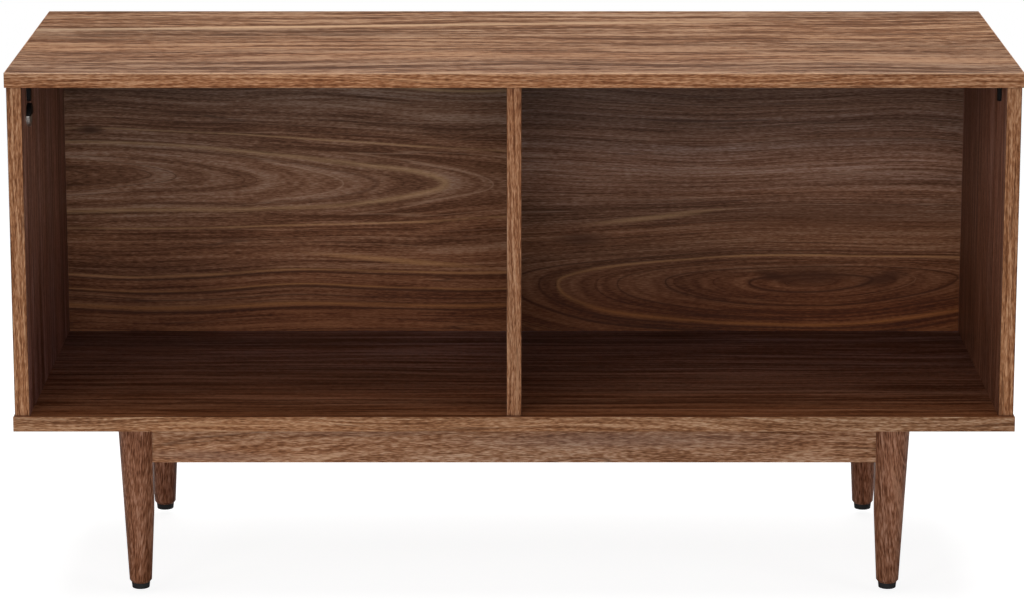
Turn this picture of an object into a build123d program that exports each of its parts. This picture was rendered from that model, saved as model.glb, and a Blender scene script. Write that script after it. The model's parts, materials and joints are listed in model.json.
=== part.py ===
from build123d import *
import os

os.makedirs("parts", exist_ok=True)

# Two-bay open console on a four-legged base.  Millimetres.
# +X runs to the right, -Y is the open front, +Z is up.
# The origin is on the floor, at the centre of the footprint.

# ---- Carcass boards ----
WIDTH = 1067.0
DEPTH = 430.0
BOARD = 16.0
CLEAR_HEIGHT = 355.0
SIDE_INSET = 1.5
FRONT_SETBACK = 5.0

# ---- Solid edge bands on the boards ----
BAND = 1.2
ARRIS = 0.8

# ---- Back panels, let into grooves ----
BACK_PANEL = 5.0
BACK_FROM_FRONT = 405.0
GROOVE_DEPTH = 5.0
GROOVE_PLAY = 0.4

# ---- Base frame ----
LEG_LENGTH = 182.0
LEG_TOP_RADIUS = 21.5
LEG_END_RADIUS = 12.1
LEG_FLAT = 16.0
LEG_CHAMFER_ACROSS = 2.2
LEG_CHAMFER_UP = 2.8
LEG_X = 406.0
LEG_INSET = 55.0
RAIL_HEIGHT = 46.0
RAIL_THICKNESS = 20.0
RAIL_ARRIS = 1.0
BLOCK_HEIGHT = 40.0
BLOCK_LEG = 50.0
BLOCK_CORNER_CUT = 11.0

# ---- Adjustable feet ----
PAD_TOP_RADIUS = 10.0
PAD_END_RADIUS = 9.3
PAD_HEIGHT = 6.2
PAD_GAP = 0.3
PAD_EDGE = 0.9
PAD_SOCKET = 3.7
PAD_SLOT_WIDTH = 1.4
PAD_SLOT_DEPTH = 1.5
PAD_SLOT_ANGLE = 45.0
STUD_RADIUS = 3.0
STUD_TOP = 28.0
STUD_CHAMFER = 0.8
THREAD_CLEARANCE = 0.05
INSERT_RADIUS = 5.5
INSERT_LENGTH = 15.0
STUD_BORE_RADIUS = 3.6
STUD_BORE_DEPTH = 30.0

# ---- Dowels ----
DOWEL_RADIUS = 4.0
DOWEL_LENGTH = 30.0
DOWEL_CHAMFER = 0.8
DOWEL_IN_BOARD = 10.0
DOWEL_IN_LEG = 12.0
UPRIGHT_DOWEL_Y = (-115.0, 0.0, 115.0)
RAIL_DOWEL_DROP = {"x": (11.0, 35.0), "y": (17.0, 29.0)}

# ---- Screws; a cross recess is sized as a share of the head's radius ----
SCREW_HEAD_ANGLE = 90.0
ASSEMBLY_SCREW = {"length": 50.0, "shank": 3.5, "head": 5.0}
ASSEMBLY_SCREW_Y = (-75.0, 75.0)
BASE_SCREW_LENGTH = 50.0
BASE_SCREW_SHANK = 2.25
BASE_SCREW_HEAD = 4.5
BASE_SCREW_HEAD_HEIGHT = 2.8
COUNTERBORE_RADIUS = 5.5
COUNTERBORE_DEPTH = RAIL_HEIGHT - BLOCK_HEIGHT
RECESS_LENGTH = 1.0
RECESS_WIDTH = 0.26
RECESS_DEPTH = 0.4
RAIL_SCREW_X = 200.0
BLOCK_SCREW_INSET = 17.0

# ---- Corner connectors under the top ----
CONNECTOR_HEIGHT = 23.0
CONNECTOR_TOP_WIDTH = 15.0
CONNECTOR_END_WIDTH = 9.0
CONNECTOR_THICKNESS = 4.0
CONNECTOR_ROUND = 3.0
CONNECTOR_FROM_EDGE = 50.0
CONNECTOR_BOLT_RADIUS = 1.4
CONNECTOR_BOLT_DROP = 12.0
CONNECTOR_BOLT_RISE = 10.0
CONNECTOR_SCREW = {"length": 14.0, "shank": 1.5, "head": 2.8}
CONNECTOR_SCREW_DROP = 17.0

# ---- Round fitting inside the left bay ----
FITTING_DROP = 38.5
FITTING_RADIUS = 12.0
FITTING_PROUD = 3.6
FITTING_BODY_RADIUS = 7.5
FITTING_BODY_DEPTH = 11.0
FITTING_SLOT_DROP = 5.0
FITTING_SLOT_LENGTH = 9.0
FITTING_SLOT_WIDTH = 1.8
FITTING_SLOT_DEPTH = 2.0
HOOD_WALL = 1.2
HOOD_EDGE_RISE = 1.0

# ---- Levels and lines that follow from the sizes above ----
LEG_END_Z = PAD_HEIGHT + PAD_GAP
CARCASS_Z = LEG_END_Z + LEG_LENGTH
BAY_FLOOR_Z = CARCASS_Z + BOARD
BAY_TOP_Z = BAY_FLOOR_Z + CLEAR_HEIGHT
FRONT_Y = -DEPTH / 2
REAR_Y = DEPTH / 2
UPRIGHT_FRONT_Y = FRONT_Y + FRONT_SETBACK
UPRIGHT_CORE_DEPTH = REAR_Y - UPRIGHT_FRONT_Y - BAND
UPRIGHT_CORE_Y = REAR_Y - UPRIGHT_CORE_DEPTH / 2
BACK_Y = FRONT_Y + BACK_FROM_FRONT + BACK_PANEL / 2
SIDE_X = WIDTH / 2 - SIDE_INSET - BOARD / 2
SIDE_FACE_X = SIDE_X - BOARD / 2
BAY_WIDTH = SIDE_FACE_X - BOARD / 2
BAY_X = BOARD / 2 + BAY_WIDTH / 2
GROOVE_WIDTH = BACK_PANEL + GROOVE_PLAY
BACK_TONGUE = GROOVE_DEPTH - GROOVE_PLAY
LEG_Y = REAR_Y - LEG_INSET
RAIL_END_X = LEG_X - LEG_FLAT
RAIL_END_Y = LEG_Y - LEG_FLAT
CONNECTOR_Y = UPRIGHT_CORE_Y - UPRIGHT_CORE_DEPTH / 2 - BAND + CONNECTOR_FROM_EDGE
CONNECTOR_REAR_Y = BACK_Y - BACK_PANEL / 2 - CONNECTOR_FROM_EDGE
UPRIGHTS = {
    "left_side_panel": (-SIDE_X, (1,)),
    "center_divider": (0.0, (-1, 1)),
    "right_side_panel": (SIDE_X, (-1,)),
}
UPRIGHT_CENTERS = [center_x for center_x, _ in UPRIGHTS.values()]
LEGS = {
    "front_left": (-1, -1),
    "front_right": (1, -1),
    "rear_left": (-1, 1),
    "rear_right": (1, 1),
}


def save(piece, name):
    """Label a finished piece and write it as a STEP file of its own."""
    piece.part.label = name
    export_step(piece.part, f"parts/{name}.step")


def countersunk_screw(length, shank, head):
    """A screw that points along -Z, its flat head level with the origin."""
    with BuildPart(mode=Mode.PRIVATE) as screw:
        with BuildSketch(Plane.XZ):
            with BuildLine():
                Polyline(
                    (0, 0),
                    (head, 0),
                    (shank, shank - head),
                    (shank, shank - length),
                    (0, -length),
                    close=True,
                )
            make_face()
        revolve(axis=Axis.Z)
        with BuildSketch(Plane.XY):
            Rectangle(head * RECESS_LENGTH, head * RECESS_WIDTH)
            Rectangle(head * RECESS_WIDTH, head * RECESS_LENGTH)
        extrude(amount=-head * RECESS_DEPTH, mode=Mode.SUBTRACT)
    return screw.part


def pan_head_screw(length, shank, head, head_height):
    """A screw that points along -Z, its head seated on the origin's plane."""
    with BuildPart(mode=Mode.PRIVATE) as screw:
        with BuildSketch(Plane.XZ):
            with BuildLine():
                Polyline(
                    (0, head_height),
                    (0, -length),
                    (shank, shank - length),
                    (shank, 0),
                    (head, 0),
                    (head, head_height),
                    close=True,
                )
            make_face()
        revolve(axis=Axis.Z)
        fillet(screw.edges().filter_by(GeomType.CIRCLE).sort_by(Axis.Z)[-1], head_height / 2)
        with BuildSketch(Plane.XY.offset(head_height)):
            Rectangle(head * RECESS_LENGTH, head * RECESS_WIDTH)
            Rectangle(head * RECESS_WIDTH, head * RECESS_LENGTH)
        extrude(amount=-head * RECESS_DEPTH, mode=Mode.SUBTRACT)
    return screw.part


def dowel():
    """A fluted-dowel blank along +Z, its lower end at the origin."""
    with BuildPart(mode=Mode.PRIVATE) as pin:
        with BuildSketch(Plane.XY):
            Circle(DOWEL_RADIUS)
        extrude(amount=DOWEL_LENGTH)
        chamfer(pin.edges().filter_by(GeomType.CIRCLE), DOWEL_CHAMFER)
    return pin.part


# ---- Where the joinery goes ----
dowel_holes = [(x, y) for x in UPRIGHT_CENTERS for y in UPRIGHT_DOWEL_Y]
upper_dowels = [(x, y, BAY_TOP_Z + DOWEL_IN_BOARD - DOWEL_LENGTH) for x, y in dowel_holes]
lower_dowels = [(x, y, BAY_FLOOR_Z - DOWEL_IN_BOARD) for x, y in dowel_holes]
assembly_screws_at = [
    Location((x, y, CARCASS_Z), (180, 0, 0)) for x in UPRIGHT_CENTERS for y in ASSEMBLY_SCREW_Y
]
block_screw_x = RAIL_END_X - BLOCK_SCREW_INSET
block_screw_y = RAIL_END_Y - BLOCK_SCREW_INSET
block_screw_points = [(side_x * block_screw_x, side_y * block_screw_y) for side_x, side_y in LEGS.values()]
rail_screw_points = [(side_x * RAIL_SCREW_X, side_y * LEG_Y) for side_x, side_y in LEGS.values()]
side_rail_screw_points = [(-LEG_X, 0), (LEG_X, 0)]
base_screw_points = block_screw_points + rail_screw_points + side_rail_screw_points
connector_points = [
    (side_x, connector_y) for side_x in (-1, 1) for connector_y in (CONNECTOR_Y, CONNECTOR_REAR_Y)
]
connector_bolt_x = SIDE_FACE_X - CONNECTOR_THICKNESS / 2
connector_bolt_points = [(side_x * connector_bolt_x, y) for side_x, y in connector_points]
connector_screw_x = SIDE_FACE_X - CONNECTOR_THICKNESS
connector_screw_z = BAY_TOP_Z - CONNECTOR_SCREW_DROP
connector_screws_at = [
    Location((side_x * connector_screw_x, y, connector_screw_z), (0, -side_x * 90, 0))
    for side_x, y in connector_points
]
fitting_center = (-SIDE_FACE_X, CONNECTOR_Y, BAY_TOP_Z - FITTING_DROP)
fitting_plane = Plane(fitting_center, x_dir=(0, 1, 0), z_dir=(1, 0, 0))

# ---- Top board ----
with BuildPart() as top_panel:
    with BuildSketch(Plane.XY.offset(BAY_TOP_Z)):
        with Locations((0, BAND / 2)):
            Rectangle(WIDTH - 2 * BAND, DEPTH - BAND)
    extrude(amount=BOARD)
    with BuildSketch(Plane.XY.offset(BAY_TOP_Z)):
        with Locations((0, BACK_Y)):
            Rectangle(2 * (SIDE_FACE_X + GROOVE_DEPTH), GROOVE_WIDTH)
    extrude(amount=GROOVE_DEPTH, mode=Mode.SUBTRACT)
    with BuildSketch(Plane.XY.offset(BAY_TOP_Z)):
        with Locations(*dowel_holes):
            Circle(DOWEL_RADIUS)
    extrude(amount=DOWEL_IN_BOARD, mode=Mode.SUBTRACT)
    with BuildSketch(Plane.XY.offset(BAY_TOP_Z)):
        with Locations(*connector_bolt_points):
            Circle(CONNECTOR_BOLT_RADIUS)
    extrude(amount=CONNECTOR_BOLT_RISE, mode=Mode.SUBTRACT)
save(top_panel, "top_panel")

# ---- Bottom board ----
with BuildPart() as bottom_panel:
    with BuildSketch(Plane.XY.offset(CARCASS_Z)):
        with Locations((0, BAND / 2)):
            Rectangle(WIDTH - 2 * BAND, DEPTH - BAND)
    extrude(amount=BOARD)
    with BuildSketch(Plane.XY.offset(BAY_FLOOR_Z)):
        with Locations((0, BACK_Y)):
            Rectangle(2 * (SIDE_FACE_X + GROOVE_DEPTH), GROOVE_WIDTH)
    extrude(amount=-GROOVE_DEPTH, mode=Mode.SUBTRACT)
    with BuildSketch(Plane.XY.offset(BAY_FLOOR_Z)):
        with Locations(*dowel_holes):
            Circle(DOWEL_RADIUS)
    extrude(amount=-DOWEL_IN_BOARD, mode=Mode.SUBTRACT)
    with Locations(*assembly_screws_at):
        CounterSinkHole(
            ASSEMBLY_SCREW["shank"],
            ASSEMBLY_SCREW["head"],
            BOARD,
            counter_sink_angle=SCREW_HEAD_ANGLE,
        )
    with BuildSketch(Plane.XY.offset(CARCASS_Z)):
        with Locations(*base_screw_points):
            Circle(BASE_SCREW_SHANK)
    extrude(amount=BASE_SCREW_LENGTH - BLOCK_HEIGHT, mode=Mode.SUBTRACT)
save(bottom_panel, "bottom_panel")

# ---- Edge bands of the top and bottom boards ----
for board_name, board_z in (("top", BAY_TOP_Z), ("bottom", CARCASS_Z)):
    with BuildPart() as front_band:
        with BuildSketch(Plane.XY.offset(board_z)):
            with Locations((0, FRONT_Y + BAND / 2)):
                Rectangle(WIDTH, BAND)
        extrude(amount=BOARD)
        fillet(front_band.faces().sort_by(Axis.Y)[0].edges(), ARRIS)
    save(front_band, f"{board_name}_front_edge_band")

    for side_name, side in (("left", -1), ("right", 1)):
        with BuildPart() as end_band:
            with BuildSketch(Plane.XY.offset(board_z)):
                with Locations((side * (WIDTH - BAND) / 2, BAND / 2)):
                    Rectangle(BAND, DEPTH - BAND)
            extrude(amount=BOARD)
            outer_face = end_band.faces().sort_by(Axis.X)[0 if side < 0 else -1]
            fillet(outer_face.edges().filter_by(Axis.Y), ARRIS)
        save(end_band, f"{board_name}_{side_name}_edge_band")

# ---- Side panels and centre divider ----
for name, (center_x, groove_sides) in UPRIGHTS.items():
    with BuildPart() as upright:
        with BuildSketch(Plane.XY.offset(BAY_FLOOR_Z)):
            with Locations((center_x, UPRIGHT_CORE_Y)):
                Rectangle(BOARD, UPRIGHT_CORE_DEPTH)
            for groove_side in groove_sides:
                with Locations((center_x + groove_side * (BOARD - GROOVE_DEPTH) / 2, BACK_Y)):
                    Rectangle(GROOVE_DEPTH, GROOVE_WIDTH, mode=Mode.SUBTRACT)
        extrude(amount=CLEAR_HEIGHT)
        with BuildSketch(Plane.XY.offset(BAY_TOP_Z)):
            with Locations(*[(center_x, y) for y in UPRIGHT_DOWEL_Y]):
                Circle(DOWEL_RADIUS)
        extrude(amount=DOWEL_IN_BOARD - DOWEL_LENGTH, mode=Mode.SUBTRACT)
        with BuildSketch(Plane.XY.offset(BAY_FLOOR_Z)):
            with Locations(*[(center_x, y) for y in UPRIGHT_DOWEL_Y]):
                Circle(DOWEL_RADIUS)
        extrude(amount=DOWEL_LENGTH - DOWEL_IN_BOARD, mode=Mode.SUBTRACT)
        with BuildSketch(Plane.XY.offset(BAY_FLOOR_Z)):
            with Locations(*[(center_x, y) for y in ASSEMBLY_SCREW_Y]):
                Circle(ASSEMBLY_SCREW["shank"])
        extrude(amount=ASSEMBLY_SCREW["length"] - BOARD, mode=Mode.SUBTRACT)
        for side_x, connector_y in connector_points:
            if side_x * center_x > 0:
                screw_center = (side_x * SIDE_FACE_X, connector_y, connector_screw_z)
                with BuildSketch(Plane(screw_center, z_dir=(side_x, 0, 0))):
                    Circle(CONNECTOR_SCREW["shank"])
                extrude(amount=CONNECTOR_SCREW["length"] - CONNECTOR_THICKNESS, mode=Mode.SUBTRACT)
        if name == "left_side_panel":
            with BuildSketch(fitting_plane):
                Circle(FITTING_BODY_RADIUS)
            extrude(amount=-FITTING_BODY_DEPTH, mode=Mode.SUBTRACT)
    save(upright, name)

    with BuildPart() as upright_band:
        with BuildSketch(Plane.XY.offset(BAY_FLOOR_Z)):
            with Locations((center_x, UPRIGHT_FRONT_Y + BAND / 2)):
                Rectangle(BOARD, BAND)
        extrude(amount=CLEAR_HEIGHT)
        fillet(upright_band.faces().sort_by(Axis.Y)[0].edges().filter_by(Axis.Z), ARRIS)
    save(upright_band, f"{name}_edge_band")

# ---- Back panels ----
for side_name, side in (("left", -1), ("right", 1)):
    with BuildPart() as back_panel:
        with BuildSketch(Plane.XY.offset(BAY_FLOOR_Z - BACK_TONGUE)):
            with Locations((side * BAY_X, BACK_Y)):
                Rectangle(BAY_WIDTH + 2 * BACK_TONGUE, BACK_PANEL)
        extrude(amount=CLEAR_HEIGHT + 2 * BACK_TONGUE)
    save(back_panel, f"{side_name}_back_panel")

# ---- Dowels and screws of the carcass ----
with BuildPart() as carcass_dowels:
    with Locations(*upper_dowels, *lower_dowels):
        add(dowel())
save(carcass_dowels, "carcass_dowels")

with BuildPart() as assembly_screws:
    with Locations(*assembly_screws_at):
        add(countersunk_screw(**ASSEMBLY_SCREW))
save(assembly_screws, "assembly_screws")

# ---- Corner connectors: a tapered lug with an upright bolt in its groove ----
connector_names = [
    "left_front_corner_connector",
    "left_rear_corner_connector",
    "right_front_corner_connector",
    "right_rear_corner_connector",
]
for name, (side_x, connector_y), screw_at in zip(connector_names, connector_points, connector_screws_at):
    lug_plane = Plane(
        (side_x * SIDE_FACE_X, connector_y, BAY_TOP_Z),
        x_dir=(0, -side_x, 0),
        z_dir=(-side_x, 0, 0),
    )
    with BuildPart() as connector:
        with BuildSketch(lug_plane):
            with BuildLine():
                Polyline(
                    (-CONNECTOR_TOP_WIDTH / 2, 0),
                    (-CONNECTOR_END_WIDTH / 2, -CONNECTOR_HEIGHT),
                    (CONNECTOR_END_WIDTH / 2, -CONNECTOR_HEIGHT),
                    (CONNECTOR_TOP_WIDTH / 2, 0),
                    close=True,
                )
            make_face()
        extrude(amount=CONNECTOR_THICKNESS)
        fillet(connector.faces().sort_by(Axis.Z)[0].edges().filter_by(Axis.X), CONNECTOR_ROUND)
        with BuildSketch(lug_plane.offset(CONNECTOR_THICKNESS / 2)):
            with Locations((0, -CONNECTOR_BOLT_DROP / 2)):
                Rectangle(2 * CONNECTOR_BOLT_RADIUS, CONNECTOR_BOLT_DROP)
        extrude(amount=CONNECTOR_THICKNESS / 2, mode=Mode.SUBTRACT)
        with BuildSketch(Plane.XY.offset(BAY_TOP_Z)):
            with Locations((side_x * connector_bolt_x, connector_y)):
                Circle(CONNECTOR_BOLT_RADIUS)
        extrude(amount=-CONNECTOR_BOLT_DROP, mode=Mode.SUBTRACT)
        with Locations(screw_at):
            CounterSinkHole(
                CONNECTOR_SCREW["shank"],
                CONNECTOR_SCREW["head"],
                CONNECTOR_THICKNESS,
                counter_sink_angle=SCREW_HEAD_ANGLE,
            )
    save(connector, name)

with BuildPart() as connector_bolts:
    with BuildSketch(Plane.XY.offset(BAY_TOP_Z - CONNECTOR_BOLT_DROP)):
        with Locations(*connector_bolt_points):
            Circle(CONNECTOR_BOLT_RADIUS)
    extrude(amount=CONNECTOR_BOLT_DROP + CONNECTOR_BOLT_RISE)
save(connector_bolts, "connector_bolts")

with BuildPart() as connector_screws:
    with Locations(*connector_screws_at):
        add(countersunk_screw(**CONNECTOR_SCREW))
save(connector_screws, "connector_screws")

# ---- Round fitting: a cross-slotted disc, its upper half under a hood ----
with BuildPart() as fitting_disc:
    with BuildSketch(fitting_plane):
        Circle(FITTING_BODY_RADIUS)
    extrude(amount=-FITTING_BODY_DEPTH)
    with BuildSketch(fitting_plane):
        Circle(FITTING_RADIUS)
    extrude(amount=FITTING_PROUD)
    chamfer(fitting_disc.faces().sort_by(Axis.X)[-1].edges(), ARRIS / 2)
    with BuildSketch(fitting_plane.offset(FITTING_PROUD)):
        with Locations((0, -FITTING_SLOT_DROP)):
            Rectangle(FITTING_SLOT_LENGTH, FITTING_SLOT_WIDTH, rotation=45)
            Rectangle(FITTING_SLOT_LENGTH, FITTING_SLOT_WIDTH, rotation=-45)
    extrude(amount=-FITTING_SLOT_DEPTH, mode=Mode.SUBTRACT)
save(fitting_disc, "left_fitting_disc")

hood_radius = FITTING_RADIUS + HOOD_WALL
with BuildPart() as fitting_hood:
    with BuildSketch(fitting_plane):
        Circle(hood_radius)
        with Locations((0, HOOD_EDGE_RISE - hood_radius)):
            Rectangle(2 * hood_radius, 2 * hood_radius, mode=Mode.SUBTRACT)
    extrude(amount=FITTING_PROUD + HOOD_WALL)
    with BuildSketch(fitting_plane):
        Circle(FITTING_RADIUS)
    extrude(amount=FITTING_PROUD, mode=Mode.SUBTRACT)
    fillet(fitting_hood.faces().sort_by(Axis.X)[-1].edges().filter_by(GeomType.CIRCLE), ARRIS)
save(fitting_hood, "left_fitting_hood")

# ---- Front and rear rails ----
for name, side_y in (("front_rail", -1), ("rear_rail", 1)):
    with BuildPart() as rail:
        with BuildSketch(Plane.XY.offset(CARCASS_Z)):
            with Locations((0, side_y * LEG_Y)):
                Rectangle(2 * RAIL_END_X, RAIL_THICKNESS)
        extrude(amount=-RAIL_HEIGHT)
        fillet(rail.faces().sort_by(Axis.Z)[0].edges().filter_by(Axis.X), RAIL_ARRIS)
        for side_x in (-1, 1):
            rail_end = (side_x * RAIL_END_X, side_y * LEG_Y, CARCASS_Z)
            with BuildSketch(Plane(rail_end, x_dir=(0, 1, 0), z_dir=(side_x, 0, 0))):
                with Locations(*[(0, -side_x * drop) for drop in RAIL_DOWEL_DROP["x"]]):
                    Circle(DOWEL_RADIUS)
            extrude(amount=DOWEL_IN_LEG - DOWEL_LENGTH, mode=Mode.SUBTRACT)
            screw_mouth = (side_x * RAIL_SCREW_X, side_y * LEG_Y, CARCASS_Z - RAIL_HEIGHT)
            with Locations(Location(screw_mouth, (180, 0, 0))):
                CounterBoreHole(BASE_SCREW_SHANK, COUNTERBORE_RADIUS, COUNTERBORE_DEPTH, RAIL_HEIGHT)
    save(rail, name)

# ---- Side rails ----
for name, side_x in (("left_rail", -1), ("right_rail", 1)):
    with BuildPart() as rail:
        with BuildSketch(Plane.XY.offset(CARCASS_Z)):
            with Locations((side_x * LEG_X, 0)):
                Rectangle(RAIL_THICKNESS, 2 * RAIL_END_Y)
        extrude(amount=-RAIL_HEIGHT)
        fillet(rail.faces().sort_by(Axis.Z)[0].edges().filter_by(Axis.Y), RAIL_ARRIS)
        for side_y in (-1, 1):
            rail_end = (side_x * LEG_X, side_y * RAIL_END_Y, CARCASS_Z)
            with BuildSketch(Plane(rail_end, x_dir=(1, 0, 0), z_dir=(0, side_y, 0))):
                with Locations(*[(0, side_y * drop) for drop in RAIL_DOWEL_DROP["y"]]):
                    Circle(DOWEL_RADIUS)
            extrude(amount=DOWEL_IN_LEG - DOWEL_LENGTH, mode=Mode.SUBTRACT)
        with Locations(Location((side_x * LEG_X, 0, CARCASS_Z - RAIL_HEIGHT), (180, 0, 0))):
            CounterBoreHole(BASE_SCREW_SHANK, COUNTERBORE_RADIUS, COUNTERBORE_DEPTH, RAIL_HEIGHT)
    save(rail, name)

# ---- Legs: round and tapered, with a flat where each rail meets them ----
for corner, (side_x, side_y) in LEGS.items():
    leg_origin = (side_x * LEG_X, side_y * LEG_Y, LEG_END_Z)
    with BuildPart() as leg:
        with BuildSketch(Plane(leg_origin, x_dir=(1, 0, 0), z_dir=(0, -1, 0))):
            with BuildLine():
                Polyline(
                    (0, 0),
                    (LEG_END_RADIUS - LEG_CHAMFER_ACROSS, 0),
                    (LEG_END_RADIUS, LEG_CHAMFER_UP),
                    (LEG_TOP_RADIUS, LEG_LENGTH),
                    (0, LEG_LENGTH),
                    close=True,
                )
            make_face()
        revolve(axis=Axis(leg_origin, (0, 0, 1)))
        with BuildSketch(Plane(leg_origin, x_dir=(1, 0, 0), z_dir=(0, 0, 1))):
            with Locations((-side_x * (LEG_FLAT + LEG_TOP_RADIUS), 0)):
                Rectangle(2 * LEG_TOP_RADIUS, 4 * LEG_TOP_RADIUS)
            with Locations((0, -side_y * (LEG_FLAT + LEG_TOP_RADIUS))):
                Rectangle(4 * LEG_TOP_RADIUS, 2 * LEG_TOP_RADIUS)
        extrude(amount=LEG_LENGTH, mode=Mode.SUBTRACT)
        with BuildSketch(Plane(leg_origin)):
            Circle(INSERT_RADIUS)
        extrude(amount=INSERT_LENGTH, mode=Mode.SUBTRACT)
        with BuildSketch(Plane(leg_origin)):
            Circle(STUD_BORE_RADIUS)
        extrude(amount=STUD_BORE_DEPTH, mode=Mode.SUBTRACT)
        for drop in RAIL_DOWEL_DROP["x"]:
            hole_mouth = (side_x * RAIL_END_X, side_y * LEG_Y, CARCASS_Z - drop)
            with BuildSketch(Plane(hole_mouth, z_dir=(side_x, 0, 0))):
                Circle(DOWEL_RADIUS)
            extrude(amount=DOWEL_IN_LEG, mode=Mode.SUBTRACT)
        for drop in RAIL_DOWEL_DROP["y"]:
            hole_mouth = (side_x * LEG_X, side_y * RAIL_END_Y, CARCASS_Z - drop)
            with BuildSketch(Plane(hole_mouth, z_dir=(0, side_y, 0))):
                Circle(DOWEL_RADIUS)
            extrude(amount=DOWEL_IN_LEG, mode=Mode.SUBTRACT)
    save(leg, f"{corner}_leg")

    # Glued corner block behind the leg
    inner_x = LEG_X - RAIL_THICKNESS / 2
    inner_y = LEG_Y - RAIL_THICKNESS / 2
    with BuildPart() as corner_block:
        with BuildSketch(Plane.XY.offset(CARCASS_Z)):
            with BuildLine():
                Polyline(
                    (side_x * (inner_x - BLOCK_CORNER_CUT), side_y * inner_y),
                    (side_x * (inner_x - BLOCK_CORNER_CUT - BLOCK_LEG), side_y * inner_y),
                    (side_x * inner_x, side_y * (inner_y - BLOCK_CORNER_CUT - BLOCK_LEG)),
                    (side_x * inner_x, side_y * (inner_y - BLOCK_CORNER_CUT)),
                    close=True,
                )
            make_face()
        extrude(amount=-BLOCK_HEIGHT)
        with BuildSketch(Plane.XY.offset(CARCASS_Z)):
            with Locations((side_x * block_screw_x, side_y * block_screw_y)):
                Circle(BASE_SCREW_SHANK)
        extrude(amount=-BLOCK_HEIGHT, mode=Mode.SUBTRACT)
    save(corner_block, f"{corner}_corner_block")

    # Threaded insert pressed into the end of the leg
    with BuildPart() as leg_insert:
        with BuildSketch(Plane(leg_origin)):
            Circle(INSERT_RADIUS)
            Circle(STUD_RADIUS + THREAD_CLEARANCE, mode=Mode.SUBTRACT)
        extrude(amount=INSERT_LENGTH)
    save(leg_insert, f"{corner}_leg_insert")

    # Foot: a slotted pad on a threaded stud
    foot_origin = (side_x * LEG_X, side_y * LEG_Y, 0)
    with BuildPart() as foot_pad:
        with BuildSketch(Plane(foot_origin, x_dir=(1, 0, 0), z_dir=(0, -1, 0))):
            with BuildLine():
                Polyline(
                    (0, 0),
                    (PAD_END_RADIUS, 0),
                    (PAD_TOP_RADIUS, PAD_HEIGHT),
                    (0, PAD_HEIGHT),
                    close=True,
                )
            make_face()
        revolve(axis=Axis(foot_origin, (0, 0, 1)))
        fillet(foot_pad.edges().filter_by(GeomType.CIRCLE).sort_by(Axis.Z)[0], PAD_EDGE)
        with BuildSketch(Plane(foot_origin)):
            Rectangle(3 * PAD_TOP_RADIUS, PAD_SLOT_WIDTH, rotation=PAD_SLOT_ANGLE)
            Rectangle(3 * PAD_TOP_RADIUS, PAD_SLOT_WIDTH, rotation=PAD_SLOT_ANGLE + 90)
        extrude(amount=PAD_SLOT_DEPTH, mode=Mode.SUBTRACT)
        with BuildSketch(Plane(foot_origin).offset(PAD_HEIGHT)):
            Circle(STUD_RADIUS)
        extrude(amount=-PAD_SOCKET, mode=Mode.SUBTRACT)
    save(foot_pad, f"{corner}_foot_pad")

    with BuildPart() as foot_stud:
        with BuildSketch(Plane(foot_origin).offset(PAD_HEIGHT - PAD_SOCKET)):
            Circle(STUD_RADIUS)
        extrude(amount=STUD_TOP - PAD_HEIGHT + PAD_SOCKET)
        chamfer(foot_stud.edges().filter_by(GeomType.CIRCLE).sort_by(Axis.Z)[-1], STUD_CHAMFER)
    save(foot_stud, f"{corner}_foot_stud")

# ---- Dowels and screws of the base frame ----
with BuildPart() as rail_dowels:
    for side_x, side_y in LEGS.values():
        for drop in RAIL_DOWEL_DROP["x"]:
            dowel_end = (side_x * (RAIL_END_X + DOWEL_IN_LEG), side_y * LEG_Y, CARCASS_Z - drop)
            with Locations(Location(dowel_end, (0, -side_x * 90, 0))):
                add(dowel())
        for drop in RAIL_DOWEL_DROP["y"]:
            dowel_end = (side_x * LEG_X, side_y * (RAIL_END_Y + DOWEL_IN_LEG), CARCASS_Z - drop)
            with Locations(Location(dowel_end, (side_y * 90, 0, 0))):
                add(dowel())
save(rail_dowels, "rail_dowels")

base_screws_at = [Location((x, y, CARCASS_Z - BLOCK_HEIGHT), (180, 0, 0)) for x, y in base_screw_points]
with BuildPart() as base_screws:
    with Locations(*base_screws_at):
        add(pan_head_screw(BASE_SCREW_LENGTH, BASE_SCREW_SHANK, BASE_SCREW_HEAD, BASE_SCREW_HEAD_HEIGHT))
save(base_screws, "base_screws")
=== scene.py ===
import json
import math

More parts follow.
